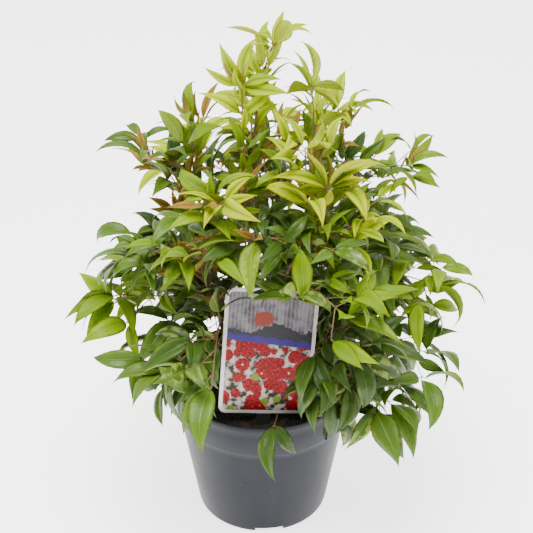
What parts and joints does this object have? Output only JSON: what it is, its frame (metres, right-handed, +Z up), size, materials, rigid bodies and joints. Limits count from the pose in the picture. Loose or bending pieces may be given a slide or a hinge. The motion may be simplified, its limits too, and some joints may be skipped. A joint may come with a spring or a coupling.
{
  "type": "potted heavenly bamboo",
  "caption": "Young heavenly bamboo shrub, a dense dome of pointed green leaflets on thin canes, in a round grey nursery pot with a picture label.",
  "frame": {"origin": "centre of the pot's underside, on the ground", "axes": "+Z up along the pot's axis; -Y is the side of the plant label; +X to the right as the label is read"},
  "size_m": [0.3519, 0.333, 0.4714],
  "materials": {
    "pot_plastic": "satin grey moulded plastic",
    "compost": "damp dark fibrous compost",
    "label_card": "printed plastic card",
    "cane_bark": "thin brown bark",
    "leaf_stalk": "smooth green stalk with red joints",
    "leaf_lime": "soft young leaf",
    "leaf_fresh": "satin leaf",
    "leaf_deep": "leathery satin leaf"
  },
  "bodies": {
    "root": {"pot": "pot_plastic", "compost": "compost", "label": "label_card", "cane_1": "cane_bark", "cane_2": "cane_bark", "cane_3": "cane_bark", "cane_4": "cane_bark", "cane_5": "cane_bark", "cane_6": "cane_bark", "cane_7": "cane_bark", "bough_01": "leaf_stalk", "bough_02": "leaf_stalk", "bough_03": "leaf_stalk", "bough_04": "leaf_stalk", "bough_05": "leaf_stalk", "bough_06": "leaf_stalk", "bough_07": "leaf_stalk", "bough_08": "leaf_stalk", "bough_09": "leaf_stalk", "bough_10": "leaf_stalk", "bough_11": "leaf_stalk", "bough_12": "leaf_stalk", "spray_01": "leaf_deep", "spray_02": "leaf_lime", "spray_03": "leaf_lime", "spray_04": "leaf_lime", "spray_05": "leaf_fresh", "spray_06": "leaf_fresh", "spray_07": "leaf_fresh", "spray_08": "leaf_lime", "spray_09": "leaf_fresh", "spray_10": "leaf_fresh", "spray_11": "leaf_fresh", "spray_12": "leaf_fresh", "spray_13": "leaf_fresh", "spray_14": "leaf_fresh", "spray_15": "leaf_fresh", "spray_16": "leaf_deep", "spray_17": "leaf_deep", "spray_18": "leaf_deep", "spray_19": "leaf_deep", "spray_20": "leaf_deep", "spray_21": "leaf_deep", "spray_22": "leaf_deep", "spray_23": "leaf_deep", "spray_24": "leaf_deep", "spray_25": "leaf_lime", "spray_26": "leaf_deep", "spray_27": "leaf_deep", "spray_28": "leaf_fresh", "spray_29": "leaf_fresh", "spray_30": "leaf_fresh", "spray_31": "leaf_deep", "spray_32": "leaf_fresh", "spray_33": "leaf_fresh", "spray_34": "leaf_deep", "spray_35": "leaf_deep", "spray_36": "leaf_fresh", "spray_37": "leaf_fresh", "spray_38": "leaf_deep"}
  },
  "joints": []
}
